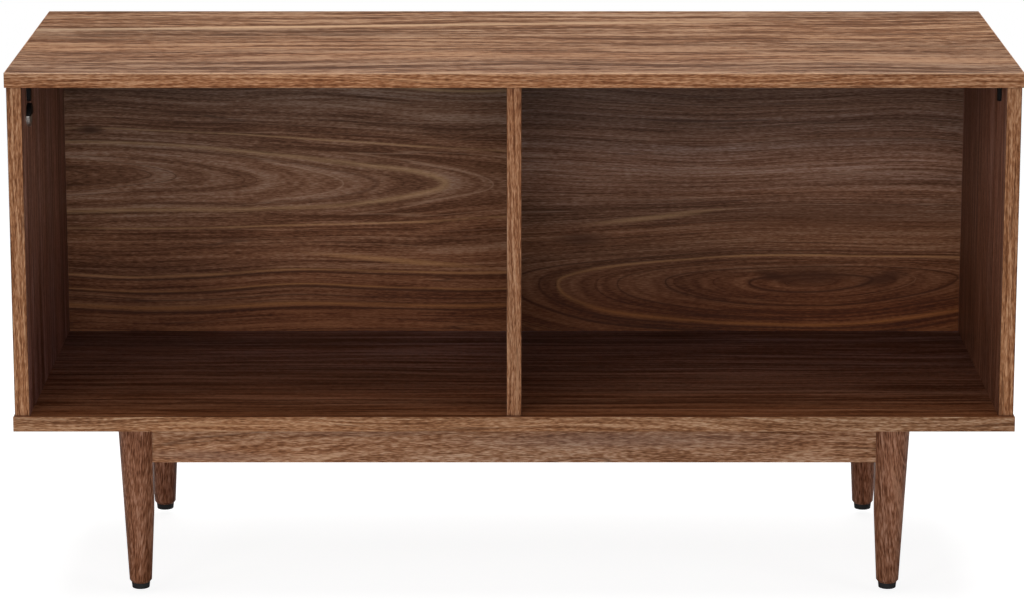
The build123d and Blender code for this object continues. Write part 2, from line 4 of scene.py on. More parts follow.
import bmesh
import bpy
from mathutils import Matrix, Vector


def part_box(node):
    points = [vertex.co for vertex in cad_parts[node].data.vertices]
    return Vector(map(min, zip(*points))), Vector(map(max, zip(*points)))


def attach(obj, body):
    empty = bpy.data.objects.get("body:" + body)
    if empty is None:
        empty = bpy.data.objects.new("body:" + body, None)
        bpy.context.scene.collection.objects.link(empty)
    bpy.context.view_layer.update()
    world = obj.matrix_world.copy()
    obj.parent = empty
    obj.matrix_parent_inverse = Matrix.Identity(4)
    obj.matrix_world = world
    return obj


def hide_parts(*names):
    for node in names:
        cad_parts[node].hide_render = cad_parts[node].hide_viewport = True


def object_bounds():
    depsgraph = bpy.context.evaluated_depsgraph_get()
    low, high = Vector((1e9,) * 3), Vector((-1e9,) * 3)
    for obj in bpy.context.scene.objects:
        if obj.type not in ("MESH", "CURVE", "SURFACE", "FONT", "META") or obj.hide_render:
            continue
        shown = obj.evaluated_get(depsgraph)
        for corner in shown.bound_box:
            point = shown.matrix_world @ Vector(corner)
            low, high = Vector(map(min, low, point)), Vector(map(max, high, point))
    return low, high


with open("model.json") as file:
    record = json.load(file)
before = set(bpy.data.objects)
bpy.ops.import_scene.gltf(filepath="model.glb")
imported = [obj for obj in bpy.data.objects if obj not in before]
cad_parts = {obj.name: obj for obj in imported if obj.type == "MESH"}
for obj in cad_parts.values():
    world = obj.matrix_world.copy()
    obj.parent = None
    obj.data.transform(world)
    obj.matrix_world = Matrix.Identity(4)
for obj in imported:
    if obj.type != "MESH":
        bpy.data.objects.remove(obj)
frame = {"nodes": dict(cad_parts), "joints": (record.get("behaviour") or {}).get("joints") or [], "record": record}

# The looks of a two-bay walnut console: wood, black nylon and zinc, a pale floor and soft studio light.
# Metres; +X to the right, -Y to the open front, +Z up.

NODES = frame["nodes"]
CAD_LOW, CAD_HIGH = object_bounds()
LEG_NAMES = ("front_left", "front_right", "rear_left", "rear_right")
AXES = {"X": 0, "Y": 1, "Z": 2}

# ---- Camera: in front of the open side, looking down at the top ----
CAMERA_FROM_FRONT = 4.2
CAMERA_HEIGHT = 1.276
CAMERA_SIDE = -0.0022
CAMERA_PITCH = 12.69
CAMERA_LENS = 143.1
CAMERA_SENSOR = 36.0

# ---- Walnut tones, from the darkest streak to the lightest; linear ----
DARK = (0.108, 0.036, 0.011)
DEEP = (0.197, 0.078, 0.032)
BROWN = (0.295, 0.136, 0.067)
TAN = (0.455, 0.265, 0.162)
STREAK_DARK = (0.085, 0.030, 0.011)
STREAK_LIGHT = (0.570, 0.345, 0.205)
GOLD = (0.610, 0.350, 0.155)
PLUM = (0.150, 0.084, 0.066)
# Painted highlight along the upper arris of the top's front band
ARRIS_HIGHLIGHT = (0.580, 0.425, 0.325)
# Painted shadow in the joints beside the bands
SEAM_SHADOW = (0.060, 0.024, 0.013)


class Graph:
    """The node tree of one material, with a short call for each kind of node used here."""

    def __init__(self, name):
        self.material = bpy.data.materials.new(name)
        self.material.use_nodes = True
        self.tree = self.material.node_tree
        self.shader = self.tree.nodes["Principled BSDF"]

    def node(self, kind, **settings):
        made = self.tree.nodes.new(kind)
        for key, value in settings.items():
            setattr(made, key, value)
        return made

    def feed(self, socket, value):
        if isinstance(value, bpy.types.NodeSocket):
            self.tree.links.new(value, socket)
        else:
            socket.default_value = value

    def calc(self, operation, *values):
        made = self.node("ShaderNodeMath", operation=operation)
        for socket, value in zip(made.inputs, values):
            self.feed(socket, value)
        return made.outputs[0]

    def add(self, *values):
        total = values[0]
        for value in values[1:]:
            total = self.calc("ADD", total, value)
        return total

    def times(self, a, b):
        return self.calc("MULTIPLY", a, b)

    def point(self, x, y, z):
        made = self.node("ShaderNodeCombineXYZ")
        for socket, value in zip(made.inputs, (x, y, z)):
            self.feed(socket, value)
        return made.outputs[0]

    def stretched(self, place, x, y=None, z=None):
        """The point with each coordinate times its own scale, or all three times the first."""
        scales = (x, y or x, z or x)
        return self.point(*[self.times(coordinate, scale) for coordinate, scale in zip(place, scales)])

    def position(self):
        """Where the surface point is on the object, as three sockets in metres."""
        split = self.node("ShaderNodeSeparateXYZ")
        self.feed(split.inputs[0], self.node("ShaderNodeTexCoord").outputs["Object"])
        return list(split.outputs)

    def noise(self, where, detail=0.0, roughness=0.5):
        made = self.node("ShaderNodeTexNoise")
        self.feed(made.inputs["Vector"], where)
        made.inputs["Scale"].default_value = 1.0
        made.inputs["Detail"].default_value = detail
        made.inputs["Roughness"].default_value = roughness
        return made.outputs["Fac"]

    def swing(self, where, amount, detail=0.0):
        """Noise centred on zero, about plus or minus a quarter of the amount."""
        return self.times(self.calc("SUBTRACT", self.noise(where, detail), 0.5), amount)

    def centred(self, value, amount):
        """A noise's value moved to be centred on zero, times the amount."""
        return self.calc("MULTIPLY_ADD", value, amount, -0.5 * amount)

    def spread(self, value, low, high):
        """The value as 0 at low and 1 at high."""
        made = self.node("ShaderNodeMapRange", clamp=True)
        self.feed(made.inputs["Value"], value)
        made.inputs["From Min"].default_value = low
        made.inputs["From Max"].default_value = high
        return made.outputs["Result"]

    def line_at(self, value, level, half_width, thinning):
        """1 where the value is at the level, falling to 0 at half_width times thinning away from it."""
        away = self.calc("ABSOLUTE", self.calc("SUBTRACT", value, level))
        return self.spread(self.calc("DIVIDE", away, thinning), half_width, 0.0)

    def inside(self, coordinate, low, high):
        """How far the coordinate is from the nearer of two planes, positive between them."""
        from_low = self.calc("SUBTRACT", coordinate, low)
        from_high = self.calc("SUBTRACT", high, coordinate)
        return self.calc("MINIMUM", from_low, from_high)

    def ramp(self, value, stops):
        made = self.node("ShaderNodeValToRGB")
        band = made.color_ramp
        while len(band.elements) < len(stops):
            band.elements.new(1.0)
        for element, (at, colour) in zip(band.elements, stops):
            element.position = at
            element.color = (*colour, 1.0)
        self.feed(made.inputs["Fac"], value)
        return made.outputs["Color"]

    def mix(self, factor, a, b, blend="MIX"):
        made = self.node("ShaderNodeMix", data_type="RGBA", blend_type=blend)
        self.feed(made.inputs[0], factor)
        for socket, value in zip((made.inputs[6], made.inputs[7]), (a, b)):
            self.feed(socket, value if isinstance(value, bpy.types.NodeSocket) else (*value, 1.0))
        return made.outputs[2]

    def tinted(self, colour, tint):
        return self.mix(1.0, colour, tint, "MULTIPLY")

    def bump(self, height, strength, depth):
        made = self.node("ShaderNodeBump")
        self.feed(made.inputs["Height"], height)
        made.inputs["Strength"].default_value = strength
        made.inputs["Distance"].default_value = depth
        self.feed(self.shader.inputs["Normal"], made.outputs["Normal"])


def scaled(colour, amount):
    return tuple(amount * channel for channel in colour)


def assign(node, material):
    slots = NODES[node].data.materials
    slots.clear()
    slots.append(material)


def new_object(name, data):
    made = bpy.data.objects.new(name, data)
    bpy.context.scene.collection.objects.link(made)
    return made


def new_mesh(name, builder):
    mesh = bpy.data.meshes.new(name)
    builder.to_mesh(mesh)
    builder.free()
    return mesh


# ---- Wood: the rings ----
# Waves in the rings: how many a metre along the grain and across it, and how far they move the rings
SLOW_WAVES = (1.9, 5.0)
QUICK_WAVES = (9.0, 26.0)
SWAY_WAVES = (4.5, 3.0)
SLOW_SHIFT = 0.10
QUICK_SHIFT = 0.012
CONE_SHIFT = 0.012
# The sway starts at the first distance from the pith line and is whole at the second
SWAY_STARTS, SWAY_WHOLE = 0.03, 0.12
# How squarely the rings meet the face where they are drawn at their whole width
SQUARE_ENOUGH = 0.8


def rings(graph, grain, across, pith, taper, waviness, sway, seed, flatten, slant):
    """Ring distance, how squarely the rings meet the face, the point, and its place along the grain.
    Rings are long cones round a pith line beside the face."""
    place = graph.position()
    depth = 3 - AXES[grain] - AXES[across]
    along = graph.calc("SUBTRACT", place[AXES[grain]], pith[0])
    side = graph.calc("SUBTRACT", place[AXES[across]], pith[1])
    under = graph.calc("SUBTRACT", place[depth], pith[2])

    def waves(lengthwise, crosswise):
        deep = graph.add(graph.times(under, crosswise), seed)
        return graph.point(graph.times(along, lengthwise), graph.times(side, crosswise), deep)

    slow, quick = waves(*SLOW_WAVES), waves(*QUICK_WAVES)
    side = graph.calc("MULTIPLY_ADD", along, slant, side)
    side = graph.calc("MAXIMUM", side, graph.times(side, flatten))
    # Away from the pith, the lines also sway up and down over about a hand's breadth
    sway_at = graph.point(graph.times(along, SWAY_WAVES[0]), graph.times(side, SWAY_WAVES[1]), seed)
    swayed = graph.spread(graph.calc("ABSOLUTE", side), SWAY_STARTS, SWAY_WHOLE)
    side = graph.calc("MULTIPLY_ADD", graph.swing(sway_at, sway), swayed, side)
    slow_shift = graph.swing(slow, SLOW_SHIFT * waviness, 1.0)
    side = graph.add(side, slow_shift, graph.swing(quick, QUICK_SHIFT * waviness))
    cone = graph.add(graph.times(along, taper), graph.swing(slow, CONE_SHIFT * waviness, 2.0))
    square = graph.add(graph.times(side, side), graph.times(cone, cone), graph.times(under, under))
    ring = graph.calc("SQRT", square)
    # Near the top of an arch the face runs almost along the rings, and there they are drawn thinner
    steep = graph.calc("DIVIDE", graph.calc("ABSOLUTE", side), graph.add(ring, 0.0001))
    return ring, graph.spread(steep, 0.0, SQUARE_ENOUGH), place, along


# ---- Wood: the figure ----
# Noise along the rings: how many steps a metre along the grain and across the rings
BROAD = (0.8, 15.0)
STREAKS = (1.9, 105.0)
LINES = (9.0, 430.0)
HUE = (1.1, 30.0)
# Short marks in the grain: length and width
FLECK = (0.013, 0.0035)
PORE = (0.0055, 0.00035)
# The dark late wood of each year: how sharp its edge is, how dark it is, and where among the streaks it
# is faint and clear
LATE_SHARPNESS = 3.0
LATE_DARKNESS = -0.26
LATE_FAINT, LATE_CLEAR = 0.64, 0.40
# How wide lines are where the face runs along the rings, and how much more where it crosses them
THINNEST, WIDER = 0.18, 0.82
WALNUT_SHADES = ((0.10, DARK), (0.34, DEEP), (0.57, BROWN), (0.93, TAN))
# The two tints of the heartwood, and where in the broad noise each one is whole
HEARTWOOD = ((0.0, (0.91, 0.98, 1.07)), (1.0, (1.05, 0.99, 0.92)))
GREYER, REDDER = 0.70, 1.30
# Thin lines along the rings: noise level, steps a metre, stain, share
THIN_LINES = ((0.575, 50.0, STREAK_LIGHT, 0.40), (0.425, 58.0, STREAK_DARK, 0.70))
THIN_LINE_STRETCH = 1.1
THIN_LINE_WIDTH = 0.011
ARCH_FAINT, ARCH_CLEAR = 0.15, 0.5
# A patch's edge follows the streaks: how ragged it is, and where it starts and is whole
PATCH_RAGGED = 1.2
PATCH_STARTS, PATCH_WHOLE = 0.75, -0.25
# The painted highlight on the upper arris of a band: how far down it starts and is whole, and its share
ARRIS_STARTS, ARRIS_WHOLE = 0.0018, 0.0008
ARRIS_SHARE = 0.48
SEAM_SHADOW_SHARE = 0.8
PORE_SHARE = 0.5
PORE_STARTS, PORE_WHOLE = 0.60, 0.70
WALNUT_ROUGHNESS, PORES_ROUGHER, DASHES_ROUGHER = 0.42, 0.22, 0.06
WALNUT_SPECULAR = 0.15
# How much the dashes stand up beside the depth of a pore, the bump's strength, and that depth
DASH_HEIGHT, PORE_BUMP, PORE_DEPTH = 0.35, 0.35, 0.00012


def arches_on(graph, colour, ring, thinning, lines, arches):
    """Single rings that stand out: ring distance, half width, stain, share."""
    for at, half_width, stain, share in arches:
        broken = graph.times(graph.spread(lines, ARCH_FAINT, ARCH_CLEAR), share)
        strength = graph.times(graph.line_at(ring, at, half_width, thinning), broken)
        colour = graph.mix(strength, colour, stain)
    return colour


def patches_on(graph, colour, grain_place, across_place, streaks, patches):
    """Darker or lighter places: (along, across), (half length, half width), slope, stain, share."""
    for centre, size, slope, stain, share in patches:
        run = graph.calc("SUBTRACT", grain_place, centre[0])
        rise = graph.calc("SUBTRACT", across_place, centre[1])
        rise = graph.times(graph.calc("MULTIPLY_ADD", run, -slope, rise), 1 / size[1])
        run = graph.times(run, 1 / size[0])
        reach = graph.calc("SQRT", graph.add(graph.times(run, run), graph.times(rise, rise)))
        edge = graph.calc("SUBTRACT", reach, graph.times(streaks, PATCH_RAGGED))
        colour = graph.mix(graph.times(graph.spread(edge, PATCH_STARTS, PATCH_WHOLE), share), colour, stain)
    return colour


def shifted(graph, colour, place, axis, low, high, tints):
    """A slow change of tint over the board along one axis."""
    over = graph.add(place[axis], graph.swing(graph.point(*place), 0.05))
    return graph.tinted(colour, graph.ramp(graph.spread(over, low, high), tints))


def seams_on(graph, colour, place, seams):
    """Painted shadow in the joints where a band meets the boards beside it: axis, low, high, width."""
    for axis, low, high, width in seams:
        dark = graph.spread(graph.inside(place[axis], low, high), width, 0.4 * width)
        colour = graph.mix(graph.times(dark, SEAM_SHADOW_SHARE), colour, SEAM_SHADOW)
    return colour


def walnut(
    name, grain, across, pith, taper=0.09, waviness=0.4, seed=0.0, tone=(1.0, 1.0, 1.0), fine=1.0,
    lift=0.0, balance=(0.5, 1.1, 1.5), speckles=(0.2, 0.95), dash=(0.0075, 0.00105), years=0.0065,
    breaks=1.0, sway=0.0, flatten=1.0, slant=0.0, arches=(), patches=(), shift=None, outside=None,
    arris=None, seams=(), core=None,
):
    """Lacquered walnut whose figure runs along the grain axis and shows on the grain-across face.
    balance is how strong the broad colour, the streaks and the fine lines are, and speckles the same for
    the flecks and the short dashes, whose length and width are in dash. fine makes the figure finer,
    breaks makes the streaks shorter, years is the width of a year's ring, and lift makes it all lighter."""
    graph = Graph(name)
    ring, steep, place, along = rings(graph, grain, across, pith, taper, waviness, sway, seed, flatten, slant)
    grain_place = place[AXES[grain]]
    across_place = graph.calc("MULTIPLY_ADD", grain_place, slant, place[AXES[across]])
    depth_place = place[3 - AXES[grain] - AXES[across]]

    def banded(stretch, per_metre, detail=0.0, roughness=0.5):
        where = graph.point(graph.times(along, stretch * fine), graph.times(ring, per_metre * fine), seed)
        return graph.noise(where, detail, roughness)

    def dashes(length, width):
        where = graph.stretched((grain_place, across_place, depth_place), 1 / length, 1 / width, 1 / width)
        return graph.noise(where, 1.0, 0.6)

    # Broad colour, streaks and fine lines along the rings, and the short dashes of the pores across them
    broad = banded(*BROAD, 1.0)
    streaks = banded(STREAKS[0] * breaks, STREAKS[1], 3.0, 0.65)
    lines = banded(LINES[0] * breaks, LINES[1], 1.0, 0.6)
    clusters = dashes(dash[0] / fine, dash[1] / fine)
    long_marks = graph.add(graph.centred(broad, balance[0]), graph.centred(streaks, balance[1]))
    # The long marks are half as strong where the face runs along the rings
    long_marks = graph.times(long_marks, graph.calc("MULTIPLY_ADD", steep, 0.5, 0.5))
    flecks = graph.centred(dashes(*FLECK), speckles[0])
    shade = graph.add(long_marks, flecks, graph.centred(clusters, speckles[1]))
    shade = graph.add(shade, graph.centred(lines, balance[2]), 0.5 + lift)

    # The darker late wood that closes each year's ring, clear in some places and faint in others
    year = graph.calc("FRACT", graph.calc("MULTIPLY_ADD", ring, 1 / years, graph.times(broad, 2.0)))
    clear = graph.spread(streaks, LATE_FAINT, LATE_CLEAR)
    thinning = graph.calc("MULTIPLY_ADD", steep, WIDER, THINNEST)
    late = graph.calc("POWER", year, graph.calc("DIVIDE", LATE_SHARPNESS, thinning))
    shade = graph.calc("MULTIPLY_ADD", graph.times(late, clear), LATE_DARKNESS, shade)
    colour = graph.ramp(shade, WALNUT_SHADES)

    # Thin light and dark lines that come and go along the rings
    for level, per_metre, stain, share in THIN_LINES:
        wandering = banded(THIN_LINE_STRETCH, per_metre, 2.0, 0.55)
        line = graph.line_at(wandering, level, THIN_LINE_WIDTH, thinning)
        colour = graph.mix(graph.times(line, share), colour, stain)
    colour = arches_on(graph, colour, ring, thinning, lines, arches)
    colour = patches_on(graph, colour, grain_place, across_place, streaks, patches)

    # Bands of redder and greyer heartwood, and a slow change over the board along one axis, which on the side
    # panels and the back panels is painted light and shade
    hue = graph.spread(graph.add(banded(*HUE, 1.0), broad), GREYER, REDDER)
    colour = unshifted = graph.tinted(colour, graph.ramp(hue, HEARTWOOD))
    if shift:
        colour = shifted(graph, colour, place, *shift)

    # The outer face of an upright, lighter than the inner faces with their painted shade, and the painted
    # highlight on the upper arris of a band
    if outside:
        axis, beyond, gain = outside
        outer = graph.calc("GREATER_THAN", graph.calc("ABSOLUTE", place[axis]), beyond)
        colour = graph.mix(outer, colour, graph.tinted(unshifted, gain))
    if arris:
        arris_highlight = graph.spread(place[2], arris - ARRIS_STARTS, arris - ARRIS_WHOLE)
        colour = graph.mix(graph.times(arris_highlight, ARRIS_SHARE), colour, ARRIS_HIGHLIGHT)
    # Painted shadow along the joints of a band
    colour = seams_on(graph, colour, place, seams)

    # Single pores, which are darker and rougher
    pores = graph.spread(dashes(*PORE), PORE_STARTS, PORE_WHOLE)
    colour = graph.mix(graph.times(pores, PORE_SHARE), graph.tinted(colour, tone), scaled(DARK, 0.6))
    rougher = graph.times(pores, PORES_ROUGHER), graph.times(clusters, DASHES_ROUGHER)
    roughness = graph.add(WALNUT_ROUGHNESS, *rougher)
    if core:
        colour, roughness = with_core(graph, place, core, colour, roughness)
    graph.feed(graph.shader.inputs["Base Color"], colour)
    graph.feed(graph.shader.inputs["Roughness"], roughness)
    graph.shader.inputs["Specular IOR Level"].default_value = WALNUT_SPECULAR
    height = graph.calc("SUBTRACT", graph.times(clusters, DASH_HEIGHT), pores)
    graph.bump(height, PORE_BUMP, PORE_DEPTH)
    return graph.material


# ---- Wood: the pressed-fibre core ----
VENEER = 0.0007
CORE_FIBRE = 900.0
CORE_ROUGHNESS = 0.85
CORE_SHADES = ((0.0, (0.26, 0.175, 0.105)), (1.0, (0.42, 0.30, 0.19)))


def with_core(graph, place, core, colour, roughness):
    """Where a board's cut edge shows, pressed-fibre core between its two veneers."""
    axis, low, high = core
    inner = graph.calc("GREATER_THAN", graph.inside(place[axis], low, high), VENEER)
    fibres = graph.noise(graph.stretched(place, CORE_FIBRE), 3.0, 0.7)
    core_colour = graph.ramp(graph.spread(fibres, 0.3, 0.7), CORE_SHADES)
    core_roughness = graph.calc("MAXIMUM", roughness, graph.times(inner, CORE_ROUGHNESS))
    return graph.mix(inner, colour, core_colour), core_roughness


# ---- Boards and uprights ----
# The uprights' tone darkens their faces: painted shade of the bays
UPRIGHT = dict(
    grain="Z", across="Y", taper=0.03, tone=(0.88, 0.78, 0.96),
    balance=(0.5, 1.8, 2.0), speckles=(0.28, 1.33),
)
# Axis, how far from the middle the outer faces are, and their tint, which takes the place of the shift and lifts
# the outer faces out of the painted shade that the tone and the shift give the inner faces
OUTER_FACE = (0, 0.524, (1.45, 1.52, 1.20))
BOARD_VENEERS = {
    "top_panel": dict(
        grain="X", across="Y", pith=(0.9, -0.55, 0.50), taper=0.06, waviness=0.5, seed=3.1,
        tone=(0.90, 0.92, 0.91), fine=0.70, breaks=2.4, sway=0.04,
        balance=(0.8, 3.0, 2.2), speckles=(1.0, 2.0),
        shift=(1, -0.20, 0.20, (
            (0.0, (0.90, 0.89, 0.90)), (0.5, (1.00, 0.98, 0.94)), (1.0, (1.03, 1.05, 1.06)),
        )),
        # One long pale streak, and short dark ones in front of it
        patches=(
            ((-0.22, 0.100), (0.40, 0.0085), 0.080, STREAK_LIGHT, 1.00),
            ((-0.470, 0.036), (0.045, 0.008), 0.0, STREAK_DARK, 0.65),
            ((-0.313, 0.042), (0.030, 0.008), 0.0, STREAK_DARK, 0.70),
            ((-0.190, 0.044), (0.050, 0.009), 0.0, STREAK_DARK, 0.65),
            ((0.130, 0.012), (0.080, 0.010), 0.0, STREAK_DARK, 0.50),
        ),
    ),
    # The bottom panel's darker tone is painted shade of the bays
    "bottom_panel": dict(
        grain="X", across="Y", pith=(0.10, 0.42, 0.15), taper=0.06, seed=7.7, tone=(0.72, 0.63, 0.74),
        balance=(0.5, 2.0, 2.0), speckles=(0.28, 1.33),
        shift=(1, -0.20, 0.20, (
            (0.0, (0.99, 0.80, 0.50)), (0.45, (1.00, 0.98, 0.96)), (1.0, (1.00, 1.21, 1.65)),
        )),
    ),
    # The side panels' shift makes their faces darker low down and lighter towards the top: painted light and shade
    "left_side_panel": dict(
        pith=(-0.4, -0.70, -0.45), seed=12.3, outside=OUTER_FACE,
        shift=(2, 0.26, 0.46, ((0.0, (0.89, 0.88, 1.03)), (1.0, (1.38, 1.50, 1.60)))), **UPRIGHT,
    ),
    "right_side_panel": dict(
        pith=(1.3, 0.75, 0.60), seed=15.9, outside=OUTER_FACE,
        shift=(2, 0.26, 0.46, ((0.0, (0.77, 0.70, 0.60)), (1.0, (1.17, 1.15, 1.13)))), **UPRIGHT,
    ),
    "center_divider": dict(pith=(-0.3, 0.65, 0.06), seed=18.2, **UPRIGHT),
}
BACK_VENEER = dict(
    grain="X", across="Z", waviness=0.42, breaks=1.4, balance=(0.5, 1.2, 1.0), speckles=(0.3, 1.1),
)
BACK_VENEERS = {
    # Arches that point to the right, straight lines below them and a small knot at the upper left
    "left_back_panel": dict(
        pith=(-0.62, 0.384, 0.192), taper=0.0700, years=0.0068, sway=0.022, seed=22.4,
        # The shift makes the panel darker and redder at the bottom and darker at the top, lightest between:
        # painted shade
        shift=(2, 0.21, 0.48, (
            (0.05, (0.58, 0.40, 0.28)), (0.35, (1.06, 0.99, 0.98)),
            (0.70, (1.17, 1.20, 1.30)), (1.0, (0.65, 0.75, 0.94)),
        )),
        arches=(
            (0.0383, 0.0028, GOLD, 0.55),
            (0.0330, 0.0014, STREAK_DARK, 0.50),
            (0.0560, 0.0015, GOLD, 0.55),
            (0.1130, 0.0022, GOLD, 0.75),
            (0.1165, 0.0018, STREAK_DARK, 1.00),
            (0.1322, 0.0018, GOLD, 0.70),
            (0.1350, 0.0022, STREAK_DARK, 1.00),
            (0.1440, 0.0014, STREAK_DARK, 0.80),
            (0.1535, 0.0034, GOLD, 0.75),
            (0.1585, 0.0018, STREAK_DARK, 0.95),
        ),
        patches=(
            ((-0.487, 0.442), (0.015, 0.005), 0.0, STREAK_DARK, 1.0),
            ((-0.131, 0.288), (0.085, 0.003), -0.085, GOLD, 0.6),
        ),
    ),
    # A long eye low on the panel with arches that point to the left, and straighter lines above it
    "right_back_panel": dict(
        pith=(0.345, 0.2655, 0.192), taper=0.18, years=0.0074, flatten=1.7, sway=-0.045, seed=27.8,
        balance=(0.38, 0.85, 0.85), speckles=(0.25, 1.0),
        # The shift makes the panel darker and redder at the bottom and darker at the top, lightest between:
        # painted shade
        shift=(2, 0.21, 0.48, (
            (0.05, (0.63, 0.39, 0.23)), (0.35, (1.02, 0.96, 0.94)),
            (0.70, (1.10, 1.21, 1.55)), (1.0, (0.48, 0.53, 0.67)),
        )),
        arches=(
            (0.0525, 0.0026, GOLD, 0.80),
            (0.0565, 0.0018, STREAK_DARK, 0.80),
            (0.0620, 0.0018, STREAK_DARK, 0.90),
            (0.0400, 0.0014, STREAK_DARK, 0.70),
            (0.0300, 0.0016, STREAK_DARK, 0.90),
            (0.0130, 0.0024, STREAK_DARK, 1.00),
        ),
        patches=(
            ((0.345, 0.270), (0.055, 0.012), 0.0, STREAK_DARK, 0.75),
            ((0.300, 0.270), (0.020, 0.006), -0.25, STREAK_DARK, 0.8),
            ((0.430, 0.268), (0.024, 0.008), 0.25, STREAK_DARK, 0.8),
            ((0.080, 0.313), (0.032, 0.008), 0.0, STREAK_DARK, 0.75),
            ((0.370, 0.338), (0.150, 0.018), 0.0, DARK, 0.5),
            ((0.167, 0.340), (0.070, 0.003), 0.12, GOLD, 0.6),
        ),
    ),
}


def dress_boards():
    for node, look in BOARD_VENEERS.items():
        low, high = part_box(node)
        thin = AXES["Z"] if look["grain"] == "X" else AXES["X"]
        assign(node, walnut(f"walnut_{node}", core=(thin, low[thin], high[thin]), **look))
    for node, look in BACK_VENEERS.items():
        assign(node, walnut(f"walnut_{node}", **(BACK_VENEER | look)))


# ---- Edge bands: grain, the direction across it, seed, tone ----
BANDS = {
    "top_front_edge_band": ("X", "Z", 31.0, (1.30, 1.21, 1.07)),
    "bottom_front_edge_band": ("X", "Z", 34.0, (1.17, 1.21, 1.17)),
    "top_left_edge_band": ("Y", "Z", 37.0, (1.30, 1.21, 1.07)),
    "top_right_edge_band": ("Y", "Z", 40.0, (1.30, 1.21, 1.07)),
    "bottom_left_edge_band": ("Y", "Z", 43.0, (1.17, 1.21, 1.17)),
    "bottom_right_edge_band": ("Y", "Z", 46.0, (1.17, 1.21, 1.17)),
    "left_side_panel_edge_band": ("Z", "X", 49.0, (1.25, 1.18, 1.05)),
    "right_side_panel_edge_band": ("Z", "X", 52.0, (1.25, 1.18, 1.05)),
    "center_divider_edge_band": ("Z", "X", 55.0, (1.14, 1.05, 0.94)),
}
BAND_LOOK = dict(
    taper=0.02, waviness=0.4, fine=1.15, lift=0.03, balance=(0.12, 0.30, 1.25), speckles=(0.3, 1.45),
    dash=(0.0085, 0.00110),
)
# How far the pith starts before the band's middle, and how far it is beside it
BAND_PITH_BACK, BAND_PITH_BESIDE = 1.5, 0.05
# How wide the painted shadow is along a band's sides and at its ends
SIDE_SEAM_SHADOW, END_SEAM_SHADOW = 0.0009, 0.0014


def dress_bands():
    for node, (grain, across, seed, tone) in BANDS.items():
        low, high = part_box(node)
        middle = (low + high) / 2
        start = middle[AXES[grain]] - BAND_PITH_BACK
        beside = middle[AXES[across]] - BAND_PITH_BESIDE
        pith = (start, beside, middle[3 - AXES[grain] - AXES[across]])
        look = dict(BAND_LOOK, seed=seed, tone=tone)
        if node == "top_front_edge_band":
            look.update(arris=high.z)
        if grain == "Z":
            look.update(seams=((0, low.x, high.x, SIDE_SEAM_SHADOW), (2, low.z, high.z, END_SEAM_SHADOW)))
        assign(node, walnut(f"walnut_{node}", grain, across, pith, **look))


# ---- Rails and legs ----
RAIL_LOOK = dict(
    taper=0.05, lift=0.08, balance=(0.2, 0.3, 0.85), speckles=(0.35, 1.6), dash=(0.0085, 0.00120),
    tone=(1.32, 1.34, 1.33),
)
RAIL_PATCHES = {
    "front_rail": (
        ((-0.17, 0.181), (0.12, 0.008), 0.0, PLUM, 0.40),
        ((-0.33, 0.150), (0.07, 0.006), -0.03, PLUM, 0.40),
        ((0.12, 0.168), (0.16, 0.009), 0.0, PLUM, 0.35),
    ),
}
# From the middle of the rail to its pith: along the rail, up, and through it
RAIL_PITH = (0.35, -0.03, 0.02)
FIRST_RAIL_SEED, RAIL_SEED_STEP = 61.0, 4.0
LEG_LOOK = dict(
    taper=0.04, waviness=0.3, balance=(0.2, 0.35, 1.0), speckles=(0.35, 1.9), dash=(0.0100, 0.00115),
)
# From the middle of the leg to its pith: up, to the right, and to the rear
LEG_PITH = (-0.4, -0.045, 0.03)
FIRST_LEG_SEED, LEG_SEED_STEP = 81.0, 5.0
# The rear legs' darker tone is painted shade
FRONT_LEG_TONE, REAR_LEG_SHADED_TONE = (0.94, 0.85, 0.91), (0.85, 0.72, 0.77)
LEFT_LEG_SLANT, RIGHT_LEG_SLANT = -0.09, 0.06


def dress_base():
    for index, node in enumerate(("front_rail", "rear_rail", "left_rail", "right_rail")):
        low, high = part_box(node)
        middle = (low + high) / 2
        grain, depth = ("X", AXES["Y"]) if index < 2 else ("Y", AXES["X"])
        from_middle = zip((middle[AXES[grain]], middle.z, middle[depth]), RAIL_PITH)
        pith = tuple(place + offset for place, offset in from_middle)
        look = dict(RAIL_LOOK, seed=FIRST_RAIL_SEED + RAIL_SEED_STEP * index)
        look.update(patches=RAIL_PATCHES.get(node, ()))
        assign(node, walnut(f"walnut_{node}", grain, "Z", pith, **look))
    for index, leg in enumerate(LEG_NAMES):
        low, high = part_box(f"{leg}_leg")
        middle = (low + high) / 2
        pith = (middle.z + LEG_PITH[0], middle.x + LEG_PITH[1], middle.y + LEG_PITH[2])
        look = dict(LEG_LOOK, seed=FIRST_LEG_SEED + LEG_SEED_STEP * index)
        look.update(tone=FRONT_LEG_TONE if leg.startswith("front") else REAR_LEG_SHADED_TONE)
        look.update(slant=LEFT_LEG_SLANT if leg.endswith("left") else RIGHT_LEG_SLANT)
        assign(f"{leg}_leg", walnut(f"walnut_{leg}_leg", "Z", "X", pith, **look))


# ---- Beech dowels and blocks ----
BEECH_SHADES = ((0.0, (0.50, 0.33, 0.19)), (1.0, (0.72, 0.53, 0.34)))
BEECH_FLECK = (0.33, 0.19, 0.10)


